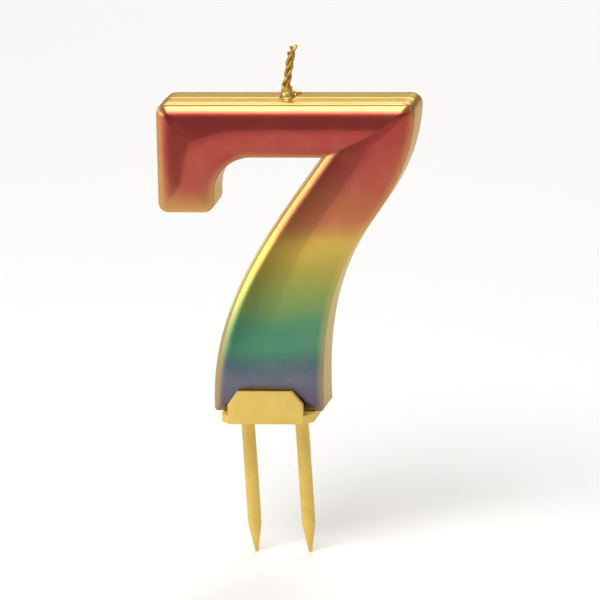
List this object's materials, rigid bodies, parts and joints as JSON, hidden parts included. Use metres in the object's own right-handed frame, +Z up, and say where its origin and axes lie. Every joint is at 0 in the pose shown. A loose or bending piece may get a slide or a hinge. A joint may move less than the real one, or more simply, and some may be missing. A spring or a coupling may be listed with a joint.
{
  "type": "numeral birthday candle",
  "caption": "Moulded wax numeral candle with a pillowed face and a twisted wick, standing on a lift-off cake holder with stakes.",
  "frame": {"origin": "centre of the holder's underside, on the plane that rests on the cake's top, midway between the two stakes", "axes": "+Z up along the stakes to the wick, +X to the numeral's right as read, and the front of the numeral faces -Y"},
  "size_m": [0.0628, 0.0174, 0.1235],
  "materials": {
    "painted_wax": "satin metallic lacquer on wax, fading in bands from red at the top through gold and green to violet, with gold edges",
    "gilded_cotton": "waxed cotton yarn with a gold coat",
    "gilded_wax": "satin metallic gold lacquer on wax",
    "gold_plastic": "moulded plastic, satin pearl gold"
  },
  "bodies": {
    "holder": {"candle_holder": "gold_plastic"},
    "numeral": {"wax_numeral": "painted_wax", "wick_ply_1": "gilded_cotton", "wick_ply_2": "gilded_cotton", "wick_ply_3": "gilded_cotton", "wick_seal": "gilded_wax"}
  },
  "joints": [
    {"name": "numeral_lift", "type": "slide", "parent": "holder", "child": "numeral", "axis": [0, 0, 1], "range_m": [0, 0.012]}
  ]
}
